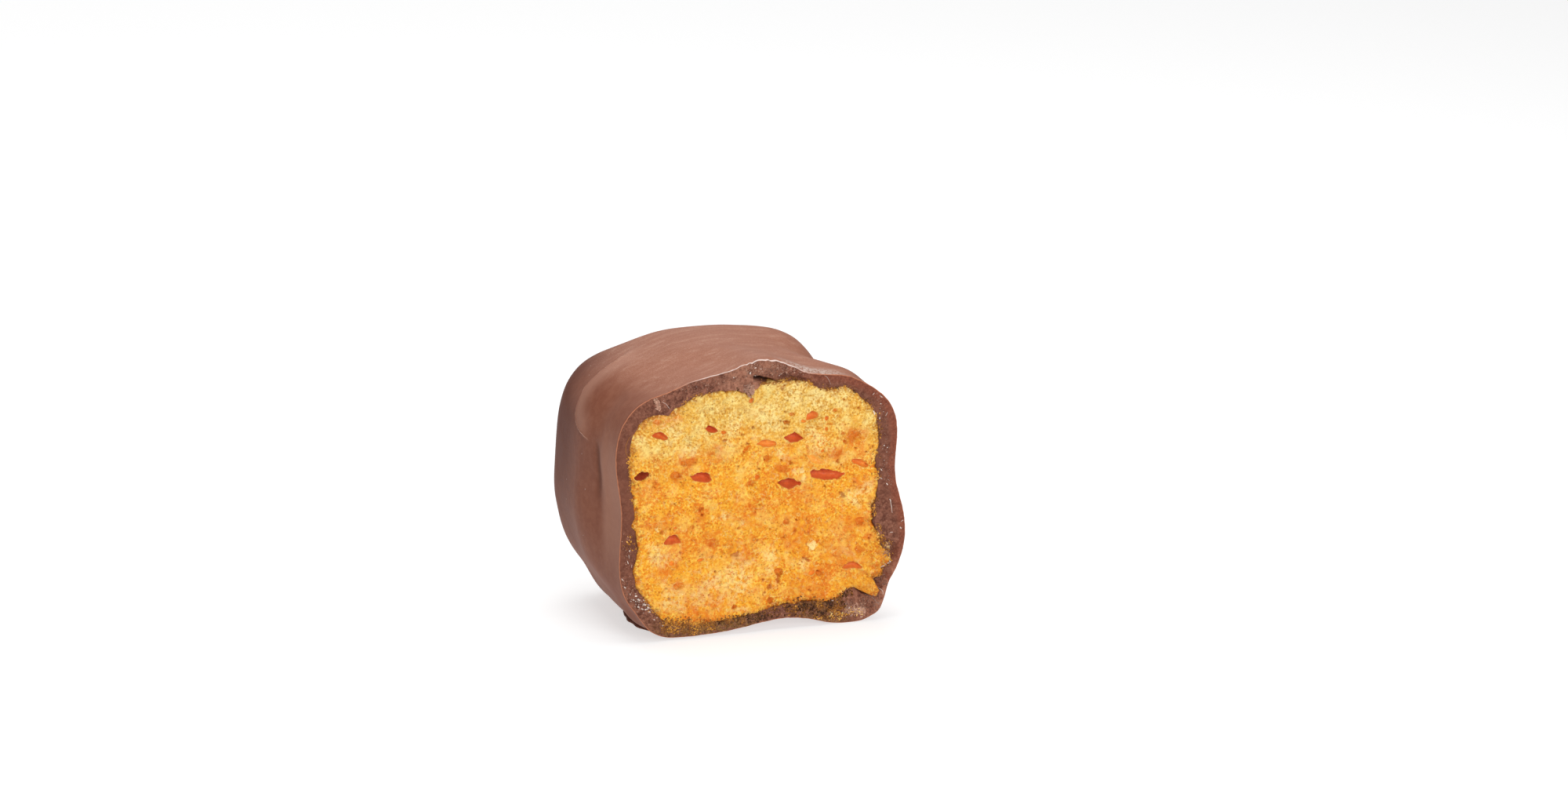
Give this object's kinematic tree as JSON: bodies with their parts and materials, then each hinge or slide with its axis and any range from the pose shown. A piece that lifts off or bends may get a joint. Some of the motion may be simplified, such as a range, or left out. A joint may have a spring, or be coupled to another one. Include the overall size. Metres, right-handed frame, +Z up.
{
  "type": "chocolate-covered honeycomb piece",
  "caption": "Chunk of golden honeycomb toffee in a thick milk chocolate shell, broken open across the front to show its porous core.",
  "frame": {"origin": "on the floor, on the flat face of the foot under the middle of the piece", "axes": "+X to the right as one faces the break, +Y towards the back, +Z up; the break faces -Y"},
  "size_m": [0.041, 0.0269, 0.0358],
  "materials": {
    "milk_chocolate": "satin milk chocolate, rough and darker where it is broken",
    "honeycomb_toffee": "dry, porous golden toffee with glassy orange bubbles"
  },
  "bodies": {
    "root": {"chocolate_shell": "milk_chocolate", "honeycomb_core": "honeycomb_toffee"}
  },
  "joints": []
}
